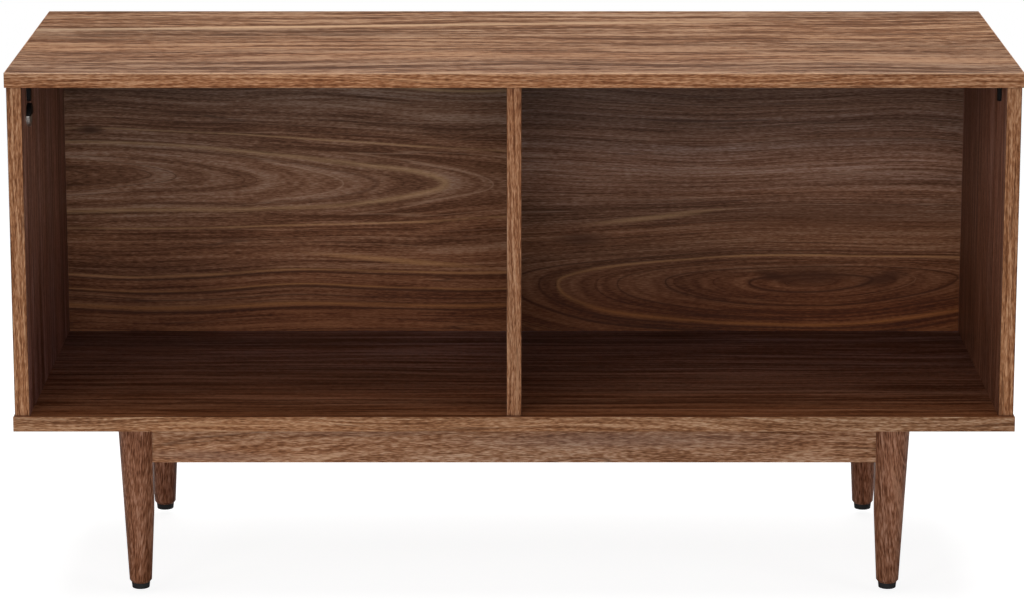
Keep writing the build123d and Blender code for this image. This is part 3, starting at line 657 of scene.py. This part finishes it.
def beech(name):
    """Plain unfinished beech, with its short darker flecks."""
    graph = Graph(name)
    place = graph.position()
    grain = graph.noise(graph.stretched(place, 60.0, 60.0, 300.0), 3.0, 0.6)
    tone = graph.spread(grain, 0.3, 0.7)
    flecks = graph.spread(graph.noise(graph.stretched(place, 400.0, 400.0, 2500.0), 1.0), 0.60, 0.68)
    colour = graph.mix(graph.times(flecks, 0.5), graph.ramp(tone, BEECH_SHADES), BEECH_FLECK)
    graph.feed(graph.shader.inputs["Base Color"], colour)
    graph.feed(graph.shader.inputs["Roughness"], graph.add(0.62, graph.times(flecks, 0.1)))
    graph.bump(tone, 0.3, 0.0001)
    return graph.material


# ---- Black nylon ----
NYLON_GRAIN = 2600.0
NYLON_CLOUD = 90.0


def nylon(name, dark, light, specular):
    """Moulded black nylon with a fine spark-eroded grain."""
    graph = Graph(name)
    place = graph.position()
    grain = graph.noise(graph.stretched(place, NYLON_GRAIN), 2.0, 0.6)
    cloud = graph.noise(graph.stretched(place, NYLON_CLOUD), 2.0)
    tone = graph.spread(graph.add(graph.times(grain, 0.6), graph.times(cloud, 0.4)), 0.35, 0.65)
    graph.feed(graph.shader.inputs["Base Color"], graph.ramp(tone, ((0.0, dark), (1.0, light))))
    graph.feed(graph.shader.inputs["Roughness"], graph.add(0.42, graph.times(grain, 0.25)))
    graph.shader.inputs["Specular IOR Level"].default_value = specular
    graph.bump(grain, 0.4, 0.00006)
    return graph.material


# ---- Zinc and black-oxide steel ----
STEEL_SPANGLE = 700.0
TURNING_MARKS = (500.0, 500.0, 6000.0)


def steel(name, dark, light, roughness):
    """Plated steel with a faint spangle and fine turning marks."""
    graph = Graph(name)
    place = graph.position()
    spangle = graph.noise(graph.stretched(place, STEEL_SPANGLE), 2.0, 0.6)
    marks = graph.noise(graph.stretched(place, *TURNING_MARKS), 1.0)
    tone = graph.spread(graph.add(graph.times(spangle, 0.7), graph.times(marks, 0.3)), 0.35, 0.65)
    graph.feed(graph.shader.inputs["Base Color"], graph.ramp(tone, ((0.0, dark), (1.0, light))))
    graph.shader.inputs["Metallic"].default_value = 1.0
    graph.feed(graph.shader.inputs["Roughness"], graph.add(roughness, graph.times(marks, 0.18)))
    graph.bump(marks, 0.25, 0.00003)
    return graph.material


def dress_hardware():
    zinc = steel("zinc_plate", (0.50, 0.49, 0.46), (0.68, 0.67, 0.64), 0.24)
    by_slot = {
        "beech": beech("beech"),
        "zinc_steel": zinc,
        "black_steel": steel("black_oxide", (0.009, 0.009, 0.010), (0.022, 0.022, 0.023), 0.42),
        "black_plastic": nylon("black_nylon", (0.012, 0.012, 0.013), (0.030, 0.029, 0.029), 0.3),
    }
    # The fittings inside the bays are blacker than the feet: painted shade of the bays on a copy of the black
    # nylon
    shaded_fitting = nylon("black_fitting_nylon", (0.004, 0.004, 0.004), (0.010, 0.009, 0.009), 0.12)
    for part in frame["record"]["subparts"]:
        node, slot = part["node"], part["material_slot"]
        if node.endswith(("_corner_connector", "_hood")):
            assign(node, shaded_fitting)
        elif slot in by_slot:
            assign(node, by_slot[slot])
    for leg in LEG_NAMES:
        threaded_stud(leg, zinc)


# ---- Threaded studs of the feet ----
THREAD_PITCH = 0.001
THREAD_ROOT = 0.00250
THREAD_CREST = 0.00297
THREAD_PROFILE = (0.0, 0.0, 0.5, 1.0, 1.0, 0.5)
THREAD_SIDES = 24
# Over how many turns the thread rises at its lower end and its upper end
LOWER_LEAD_IN, UPPER_LEAD_IN = 1.0, 1.5


def thread_radius(row, rows, turn):
    """The stud's radius at a row of its mesh and a share of a turn round it."""
    steps = len(THREAD_PROFILE)
    phase = (row - turn * steps) % steps
    before = int(phase)
    share = phase - before
    rise = (1 - share) * THREAD_PROFILE[before % steps] + share * THREAD_PROFILE[(before + 1) % steps]
    lead_in = min(1.0, (rows - row) / (UPPER_LEAD_IN * steps), row / (LOWER_LEAD_IN * steps))
    return THREAD_ROOT + (THREAD_CREST - THREAD_ROOT) * rise * lead_in


def threaded_stud(leg, material):
    """A stud with a real helical thread, which shows where the foot is screwed out of the leg."""
    node = f"{leg}_foot_stud"
    low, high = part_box(node)
    middle = (low + high) / 2
    rows = int((high.z - low.z) / THREAD_PITCH * len(THREAD_PROFILE))
    builder = bmesh.new()
    loops = []
    for row in range(rows + 1):
        level = low.z + (high.z - low.z) * row / rows
        loop = []
        for side in range(THREAD_SIDES):
            turn = side / THREAD_SIDES
            radius = thread_radius(row, rows, turn)
            angle = 2 * math.pi * turn
            at = (middle.x + radius * math.cos(angle), middle.y + radius * math.sin(angle), level)
            loop.append(builder.verts.new(at))
        loops.append(loop)
    for lower, upper in zip(loops, loops[1:]):
        for side in range(THREAD_SIDES):
            following = (side + 1) % THREAD_SIDES
            builder.faces.new((lower[side], lower[following], upper[following], upper[side]))
    builder.faces.new(list(reversed(loops[0])))
    builder.faces.new(loops[-1])
    mesh = new_mesh(f"{leg}_threaded_stud", builder)
    mesh.materials.append(material)
    piece = new_object(f"{leg}_threaded_stud", mesh)
    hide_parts(node)
    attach(piece, f"{leg}_foot")


# ---- Studio: the floor ----
# It is solid out to the first radius and gone just before its edge
FLOOR_SOLID, FLOOR_GONE, FLOOR_RADIUS = 1.2, 2.85, 3.0
FLOOR_UNDER_FEET = 0.0002
FLOOR_LIT = ((0.0, (0.78, 0.78, 0.78)), (1.0, (0.81, 0.81, 0.81)))
# What the camera sees: a darker paper that glows, so that only a soft shadow is left on it
FLOOR_SEEN = ((0.0, (0.345, 0.345, 0.345)), (1.0, (0.355, 0.355, 0.355)))
FLOOR_GLOW = 0.89


def floor_paper():
    graph = Graph("floor_paper")
    place = graph.position()
    seen = graph.node("ShaderNodeLightPath").outputs["Is Camera Ray"]
    cloud = graph.spread(graph.noise(graph.stretched(place, 2.0), 2.0), 0.3, 0.7)
    lit, paper = graph.ramp(cloud, FLOOR_LIT), graph.ramp(cloud, FLOOR_SEEN)
    graph.feed(graph.shader.inputs["Base Color"], graph.mix(seen, lit, paper))
    graph.shader.inputs["Roughness"].default_value = 0.95
    graph.shader.inputs["Specular IOR Level"].default_value = 0.1
    graph.shader.inputs["Emission Color"].default_value = (1.0, 1.0, 1.0, 1.0)
    graph.feed(graph.shader.inputs["Emission Strength"], graph.times(seen, FLOOR_GLOW))
    x, y = place[0], place[1]
    from_middle = graph.calc("SQRT", graph.add(graph.times(x, x), graph.times(y, y)))
    graph.feed(graph.shader.inputs["Alpha"], graph.spread(from_middle, FLOOR_GONE, FLOOR_SOLID))
    return graph.material


def pale_floor():
    """A pale floor that melts into the white surround, low enough for the feet to be screwed out over it."""
    builder = bmesh.new()
    bmesh.ops.create_circle(builder, cap_ends=True, radius=FLOOR_RADIUS, segments=96)
    floor = new_object("floor", new_mesh("floor", builder))
    travel = max(joint["range_m"][1] for joint in frame["joints"])
    floor.location.z = CAD_LOW.z - travel - FLOOR_UNDER_FEET
    floor.data.materials.append(floor_paper())


# ---- Studio: the light ----
LIGHTS = (
    # name, azimuth, elevation, distance, width, height, watts
    ("overhead", 0.0, 89.9, 2.4, 2.4, 2.0, 50.0),
    ("overhead_rear", 180.0, 60.0, 2.4, 2.4, 1.6, 27.0),
    ("front_low", 0.0, 8.0, 4.6, 2.0, 0.8, 44.0),
    ("front_left", -30.0, 15.0, 4.0, 1.2, 1.6, 24.0),
    ("side_left", -58.0, 22.0, 3.5, 1.2, 1.8, 11.0),
    ("side_right", 50.0, 20.0, 3.6, 1.2, 1.8, 13.0),
)
# The surround is white to the camera and gives the object a little light from all round
SURROUND_LIGHT, SURROUND_SEEN = 0.04, 1.0


def soft_light(name, azimuth, elevation, distance, width, height, watts):
    """A softbox that faces the middle of the object, placed by its direction from there."""
    data = bpy.data.lights.new(name, "AREA")
    data.shape, data.size, data.size_y, data.energy = "RECTANGLE", width, height, watts
    light = new_object(name, data)
    turn, lift = math.radians(azimuth), math.radians(elevation)
    away = Vector((math.sin(turn) * math.cos(lift), -math.cos(turn) * math.cos(lift), math.sin(lift)))
    light.location = (CAD_LOW + CAD_HIGH) / 2 + away * distance
    light.rotation_mode = "QUATERNION"
    light.rotation_quaternion = away.to_track_quat("Z", "Y")
    light.visible_camera = False


def surround():
    world = bpy.data.worlds.new("studio")
    world.use_nodes = True
    tree = world.node_tree
    background = tree.nodes["Background"]
    background.inputs["Color"].default_value = (1.0, 1.0, 1.0, 1.0)
    strength = tree.nodes.new("ShaderNodeMapRange")
    strength.inputs["To Min"].default_value = SURROUND_LIGHT
    strength.inputs["To Max"].default_value = SURROUND_SEEN
    seen = tree.nodes.new("ShaderNodeLightPath").outputs["Is Camera Ray"]
    tree.links.new(seen, strength.inputs["Value"])
    tree.links.new(strength.outputs["Result"], background.inputs["Strength"])
    bpy.context.scene.world = world
    bpy.context.scene.view_settings.view_transform = "Standard"


def studio():
    pale_floor()
    for light in LIGHTS:
        soft_light(*light)
    surround()


def camera():
    data = bpy.data.cameras.new("camera")
    data.sensor_width, data.lens = CAMERA_SENSOR, CAMERA_LENS
    made = new_object("camera", data)
    made.location = (CAMERA_SIDE, CAD_LOW.y - CAMERA_FROM_FRONT, CAD_LOW.z + CAMERA_HEIGHT)
    made.rotation_euler = (math.radians(90.0 - CAMERA_PITCH), 0.0, 0.0)
    bpy.context.scene.camera = made


dress_boards()
dress_bands()
dress_base()
dress_hardware()
studio()
camera()
